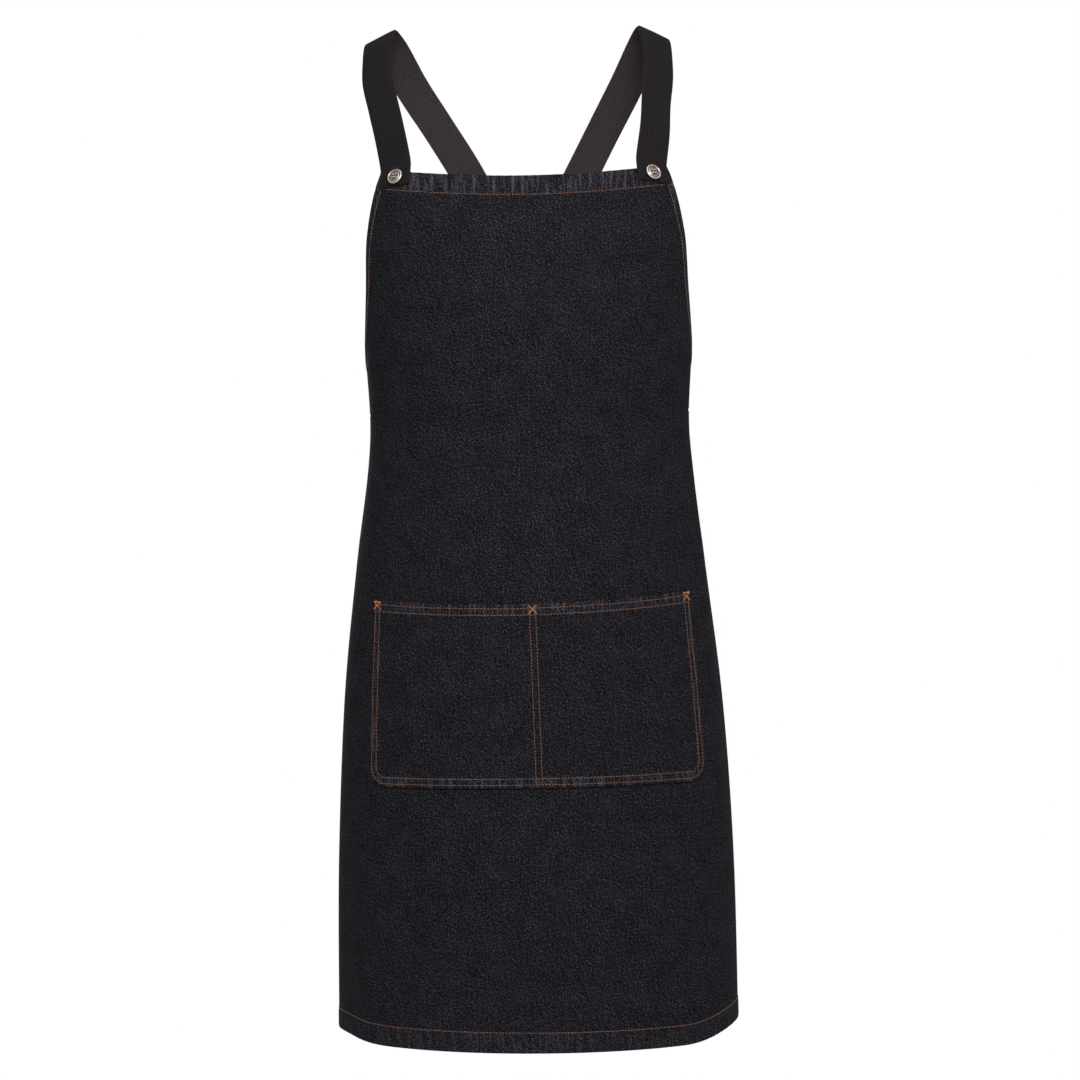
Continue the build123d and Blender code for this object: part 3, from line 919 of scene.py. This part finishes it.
def strap_stations(side):
    """Points and outward directions of one strap's middle line, from the front end to the rear end."""
    button = joint_named("right_button_swivel")
    seat = np.array(button["pos_m"], float)
    _, normal = cloth.at(*flat_spot(seat))
    up = np.array([TAB_LEAN, 0, 1])
    run = unit(up - normal * up.dot(normal))
    outwards = LEFT_TAB_SHIFT if side < 0 else TAB_SHIFT
    middle = seat + normal * (SEAT_CLEARANCE + STRAP_THICKNESS / 2) + unit(np.cross(up, normal)) * outwards
    stations = [(middle + run * reach, normal) for reach in (-TAB_LENGTH, 0, TAB_RISE / 2)]
    stations.append((middle + run * TAB_RISE, unit(normal + np.array(FRONT_ROUTE[0][1]) * 0.6)))
    stations += [(np.array(p), unit(n)) for p, n in FRONT_ROUTE]
    lift, twist, shift = (CROSSING_LIFT, REAR_TWIST, REAR_SHIFT) if side < 0 else (0, 0, 0)
    for place, (p, n, raised) in enumerate(REAR_ROUTE):
        share = REAR_SHARES.get(place, 0)
        turned = unit(np.array(n) + np.array([twist * share, 0, 0]))
        stations.append((np.array(p) + np.array([-shift * share, lift * raised, 0]), turned))
    rear, rear_normal = cloth.at(-REAR_SEAT_ACROSS, REAR_SEAT_LEVEL)
    rear_middle = rear + rear_normal * (REAR_CLEARANCE + STRAP_THICKNESS / 2)
    down = rear_middle - stations[-1][0]
    rear_run = unit(down - rear_normal * down.dot(rear_normal))
    for reach in (-REAR_TAB_HALF, 0, REAR_TAB_HALF):
        stations.append((rear_middle + rear_run * reach, rear_normal))
    stations = [(p * (side, 1, 1), n * (side, 1, 1)) for p, n in stations]
    lean = [STRAP_LEAN * float(smooth(p[2], LEAN_START, LEAN_END)) for p, _ in stations]
    return [(p + np.array([shift, 0, 0]), n) for (p, n), shift in zip(stations, lean)]


def strap_line(side):
    """Evenly spaced points, runs and outward directions along a smooth line through the stations."""
    stations = strap_stations(side)
    points = np.array([p for p, _ in stations])
    normals = np.array([n for _, n in stations])
    gaps = np.linalg.norm(np.diff(points, axis=0), axis=1)
    knots = np.concatenate([[0], np.cumsum(gaps)])
    table = np.column_stack([knots, points, normals])
    fine = hermite(table, np.linspace(0, knots[-1], 4000))
    lengths = np.concatenate([[0], np.cumsum(np.linalg.norm(np.diff(fine[:, :3], axis=0), axis=1))])
    count = int(lengths[-1] / STRAP_STEP)
    places = np.linspace(0, lengths[-1], count)
    line = np.stack([np.interp(places, lengths, fine[:, k]) for k in range(6)], 1)
    points = line[:, :3]
    runs = np.gradient(points, axis=0)
    runs /= np.linalg.norm(runs, axis=1, keepdims=True)
    normals = line[:, 3:] - runs * np.sum(line[:, 3:] * runs, axis=1, keepdims=True)
    normals /= np.linalg.norm(normals, axis=1, keepdims=True)
    return points, runs, normals, places


def clear_of(points, tree, clearance):
    """Pushes points off a surface until each is at least clearance outside it."""
    for place in np.ndindex(points.shape[:-1]):
        spot, normal, _, gap = tree.find_nearest(Vector(points[place]))
        if gap < 0.02:
            height = (Vector(points[place]) - spot).dot(normal)
            if height < clearance:
                points[place] += np.array(normal) * (clearance - height)
    return points


def outer_tree():
    """The panel's outer face, with its hems, as a search tree."""
    across, level = panel_grid()
    outer, _ = cloth.at(across, level, panel_height(across, level))
    rows, columns = outer.shape[:2]
    faces = [
        (i * columns + j, (i + 1) * columns + j, (i + 1) * columns + j + 1, i * columns + j + 1)
        for i in range(rows - 1)
        for j in range(columns - 1)
    ]
    return BVHTree.FromPolygons([Vector(p) for p in outer.reshape(-1, 3)], faces)


def strap(label, side, tree):
    """One length of tape with its slit buttonhole, and the stitches through its rear end."""
    points, runs, normals, places = strap_line(side)
    across = np.cross(runs, normals)
    half = STRAP_WIDTH / 2
    step = 2 * (half - STRAP_CREASES[-1]) / STRAP_COLUMNS
    columns = spaced(-half, half, step, STRAP_CREASES)
    centre = len(columns) // 2
    spread = np.tile(columns, (len(places), 1))
    within = (places > TAB_LENGTH - BUTTONHOLE_BELOW) & (places < TAB_LENGTH + BUTTONHOLE_ABOVE)
    for i in np.nonzero(within)[0]:
        bulge = BUTTONHOLE_SLIT + BUTTONHOLE_SPREAD * float(ridge(places[i], TAB_LENGTH, BUTTONHOLE_EASE))
        for offset, sign in ((centre - 1, -1), (centre, 1)):
            spread[i, offset] = sign * bulge
    camber = STRAP_CAMBER * (1 - (columns / half) ** 2)
    crown = points[:, None, :] + across[:, None, :] * spread[..., None]
    base = crown + normals[:, None, :] * (camber[None, :, None] - STRAP_THICKNESS / 2)
    for part in (places < FRONT_SEATED, places > places[-1] - REAR_SEATED):
        base[part] = clear_of(base[part], tree, 0.0004)
    rounding = np.minimum(1, 0.35 + np.minimum(columns + half, half - columns) / 0.0016)
    outer = base + normals[:, None, :] * (STRAP_THICKNESS * rounding[None, :, None])
    holes = [(i, centre - 1) for i in range(len(places) - 1) if within[i] and within[i + 1]]
    flat = np.stack(np.broadcast_arrays(columns[None, :] + 0.5, places[:, None]), -1)
    piece = double_sheet(f"{label}_strap_tape", outer, base, flat, holes=holes)
    dress(piece, "black_tape")
    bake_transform(piece)
    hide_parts(f"{label}_strap_front", f"{label}_strap_rear")
    edge_buttonhole(label, outer, (normals, runs, across), within, centre)
    return box_stitches(outer, normals, columns, places)


def edge_buttonhole(label, outer, directions, within, centre):
    """Close black satin stitches down both edges and over both ends of a buttonhole."""
    normals, runs, across = directions
    rows = np.nonzero(within)[0]
    fine = np.linspace(rows[0], rows[-1] - 1, 30)
    spots, aims, ups = [], [], []
    for sign, column in ((-1, centre - 1), (1, centre)):
        for place in fine:
            i, t = int(place), place - int(place)
            spot = outer[i, column] * (1 - t) + outer[i + 1, column] * t
            spots.append(spot + across[i] * sign * 0.0008)
            aims.append(across[i])
            ups.append(normals[i])
    for i in (rows[0], rows[-1]):
        for offset in np.linspace(-0.0012, 0.0012, 5):
            spots.append((outer[i, centre - 1] + outer[i, centre]) / 2 + across[i] * offset)
            aims.append(runs[i])
            ups.append(normals[i])
    stitches = stitch_mesh(*(np.array(group) for group in (spots, ups, aims)), SATIN_WIDTH, SATIN_THREAD)
    name = f"{label}_buttonhole_thread"
    thread_piece(name, stitches, "black_thread", f"{label}_strap")


def box_stitches(outer, normals, columns, places):
    """Stitches of a square with a cross in it, through a strap's rear end: points, normals and runs."""
    middle = places[-1] - REAR_TAB_HALF
    corners = [(-BOX_HALF, -BOX_HALF), (BOX_HALF, -BOX_HALF), (BOX_HALF, BOX_HALF), (-BOX_HALF, BOX_HALF)]
    rows = [[*corners, corners[0]], [corners[0], corners[2]], [corners[1], corners[3]]]

    def surface(u, v):
        i = np.clip(np.searchsorted(places, middle + v) - 1, 0, len(places) - 2)
        t = ((middle + v - places[i]) / (places[i + 1] - places[i]))[:, None]
        line = outer[i] * (1 - t[..., None]) + outer[i + 1] * t[..., None]
        return np.array([[np.interp(x, columns, row[:, k]) for k in range(3)] for x, row in zip(u, line)]), i

    spots, ups, aims = [], [], []
    for row in rows:
        flat, runs = even_path(row, STITCH_PITCH)
        points, i = surface(*flat.T)
        ahead, _ = surface(*(flat + runs * 0.001).T)
        aim = ahead - points
        spots.append(points)
        ups.append(normals[i])
        aims.append(aim / np.linalg.norm(aim, axis=1, keepdims=True))
    return np.concatenate(spots), np.concatenate(ups), np.concatenate(aims)


def rear_stitching(parts):
    """The stitched boxes of both straps, as one piece."""
    spots, ups, aims = (np.concatenate(group) for group in zip(*parts))
    stitches = stitch_mesh(spots, ups, aims, STITCH_LENGTH, THREAD_RADIUS)
    piece = thread_piece("rear_strap_box_stitches", stitches, "brown_thread", "apron")
    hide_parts("rear_strap_stitching")


# ---------------------------------------------------------------- buttons and hardware
# Profile of a cap from its back face to its middle: step up, then the new radius
CAP_PROFILE = [
    (0.0006, 0.00875),
    (0.0011, 0.00875),
    (0.0006, 0.00850),
    (0.0004, 0.00790),
    (0.0001, 0.00735),
    (-0.0001, 0.00700),
    (-0.0005, 0.00665),
    (0.0000, 0.00585),
    (0.0004, 0.00545),
    (0.0002, 0.00420),
    (0.0001, 0.00200),
]
CAP_BACK_RADIUS = 0.0080
CAP_BASE = 0.0047
# Place above the middle and length of each bar, then the width and height of both
CAP_BARS = ((0.0017, 0.0060), (-0.0017, 0.0060))
CAP_BAR_SECTION = (0.0017, 0.0013)
CAP_CHANNEL = (0.0056, 0.0068)
CAP_FIELD_RADIUS = 0.0045


def button_cap(label):
    """A pressed cap: a rolled rim, a recessed ring and a raised middle with two plain bars."""
    deselect()
    bpy.ops.mesh.primitive_circle_add(vertices=64, radius=CAP_BACK_RADIUS, fill_type="NGON")
    piece = bpy.context.object
    piece.name = f"{label}_cap_detailed"
    bpy.ops.object.mode_set(mode="EDIT")
    bpy.ops.mesh.select_all(action="SELECT")
    radius = CAP_BACK_RADIUS
    for step, wider in CAP_PROFILE:
        bpy.ops.mesh.extrude_region_move(TRANSFORM_OT_translate={"value": (0, 0, step)})
        bpy.ops.transform.resize(value=(wider / radius, wider / radius, 1))
        radius = wider
    bpy.ops.mesh.select_all(action="SELECT")
    bpy.ops.mesh.normals_make_consistent(inside=False)
    bpy.ops.object.mode_set(mode="OBJECT")
    top = sum(step for step, _ in CAP_PROFILE)
    parts = [piece]
    for lift, length in CAP_BARS:
        deselect()
        bpy.ops.mesh.primitive_cube_add(size=1, location=(0, lift, top), scale=(length, *CAP_BAR_SECTION))
        bar = bpy.context.object
        bpy.ops.object.transform_apply(location=True, scale=True)
        bpy.ops.object.mode_set(mode="EDIT")
        bpy.ops.mesh.bevel(offset=0.00028, segments=3)
        bpy.ops.object.mode_set(mode="OBJECT")
        parts.append(bar)
    deselect()
    for part in parts:
        part.select_set(True)
    bpy.context.view_layer.objects.active = piece
    bpy.ops.object.join()
    places = np.array([v.co for v in piece.data.vertices])
    ring = np.hypot(places[:, 0], places[:, 1])
    channel = (ring > CAP_CHANNEL[0]) & (ring < CAP_CHANNEL[1]) & (places[:, 2] > 0.001)
    field = (ring < CAP_FIELD_RADIUS) & (np.abs(places[:, 2] - top + 0.00007) < 0.0001)
    add_attribute(piece, "hollow", channel + 1.0 * field)
    joint = joint_named(f"{label}_button_swivel")
    axis = Vector(joint["axis"])
    seat = Vector(joint["pos_m"])
    upright = (Vector((0, 0, 1)) - axis * axis.z).normalized()
    turn = Matrix((upright.cross(axis), upright, axis)).transposed()
    piece.matrix_world = Matrix.Translation(seat + axis * CAP_BASE) @ turn.to_4x4()
    bpy.ops.object.transform_apply(location=True, rotation=True, scale=True)
    bpy.ops.object.shade_smooth_by_angle(angle=math.radians(40))
    dress(piece, "antique_nickel")
    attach(piece, f"{label}_cap")
    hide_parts(f"{label}_button_cap")


def dress_hardware():
    for node, material in (
        ("button_shanks", "brass"),
        ("button_inserts", "insert_plastic"),
        ("button_nails", "nail_aluminium"),
    ):
        piece = frame["nodes"][node]
        piece.data.materials.clear()
        piece.data.materials.append(MATERIALS[material])


# ---------------------------------------------------------------- camera, lights and stage
def set_camera():
    data = bpy.data.cameras.new("camera")
    camera = bpy.data.objects.new("camera", data)
    bpy.context.scene.collection.objects.link(camera)
    data.lens = CAMERA_LENS
    data.sensor_width = 36
    roll = Matrix.Rotation(math.radians(-CAMERA_ROLL), 4, "Z")
    stand = Matrix.Translation((CAMERA_SIDE, -CAMERA_DISTANCE, CAMERA_LEVEL))
    camera.matrix_world = stand @ Matrix.Rotation(math.radians(90), 4, "X") @ roll
    bpy.context.scene.camera = camera


def area_light(name, place, target, size, power):
    data = bpy.data.lights.new(name, "AREA")
    data.shape = "RECTANGLE"
    data.size, data.size_y = size
    data.energy = power
    light = bpy.data.objects.new(name, data)
    bpy.context.scene.collection.objects.link(light)
    light.location = place
    light.rotation_euler = (Vector(target) - Vector(place)).to_track_quat("-Z", "Y").to_euler()


def set_world():
    """A white backdrop, dimmer as a light on the cloth and less dim in the metal's reflections."""
    world = bpy.data.worlds.new("studio")
    bpy.context.scene.world = world
    world.use_nodes = True
    nodes, links = world.node_tree.nodes, world.node_tree.links
    path = nodes.new("ShaderNodeLightPath")
    shade = nodes["Background"]
    shade.inputs["Strength"].default_value = AMBIENT
    for ray, strength in (("Is Glossy Ray", REFLECTED), ("Is Camera Ray", 1.0)):
        seen = nodes.new("ShaderNodeBackground")
        seen.inputs["Strength"].default_value = strength
        choose = nodes.new("ShaderNodeMixShader")
        links.new(path.outputs[ray], choose.inputs[0])
        links.new(shade.outputs[0], choose.inputs[1])
        links.new(seen.outputs[0], choose.inputs[2])
        shade = choose
    for node in nodes:
        if node.bl_idname == "ShaderNodeBackground":
            node.inputs["Color"].default_value = (1, 1, 1, 1)
    links.new(shade.outputs[0], nodes["World Output"].inputs[0])


def set_stage():
    bpy.ops.mesh.primitive_circle_add(
        vertices=96, radius=FLOOR_RADIUS, fill_type="NGON", location=(0, 0, FLOOR_LEVEL)
    )
    floor = bpy.context.object
    floor.name = "floor"
    pale = Finish("pale_floor", 0.9)
    pale.shader.inputs["Base Color"].default_value = (0.82, 0.82, 0.81, 1)
    floor.data.materials.append(pale.material)


# Name, place, target, size and power of each light
LIGHTS = (
    ("front_softbox", (0.22, -1.95, 0.85), (0, 0, -0.40), (1.0, 0.8), 34),
    ("low_fill", (0.1, -2.2, -1.1), (0, 0, -0.1), (1.2, 0.4), 3),
    ("right_rim", (2.4, 0.9, -0.3), (0, 0, -0.7), (0.7, 1.6), 4),
    ("top_softbox", (0, -0.4, 1.9), (0, -0.1, -0.4), (1.4, 1.0), 5),
    ("back_softbox", (-0.6, 2.8, 0.4), (0, 0, -0.50), (1.8, 1.6), 60),
)


def main():
    bpy.context.scene.view_settings.view_transform = "Standard"
    set_camera()
    set_world()
    for light in LIGHTS:
        area_light(*light)
    set_stage()
    deselect()
    apron_panel()
    patch_pocket()
    panel_stitching()
    pocket_stitching()
    pocket_bartacks()
    tree = outer_tree()
    rear_stitching([strap(name, side, tree) for name, side in SIDES])
    for name, _ in SIDES:
        button_cap(name)
    dress_hardware()


main()
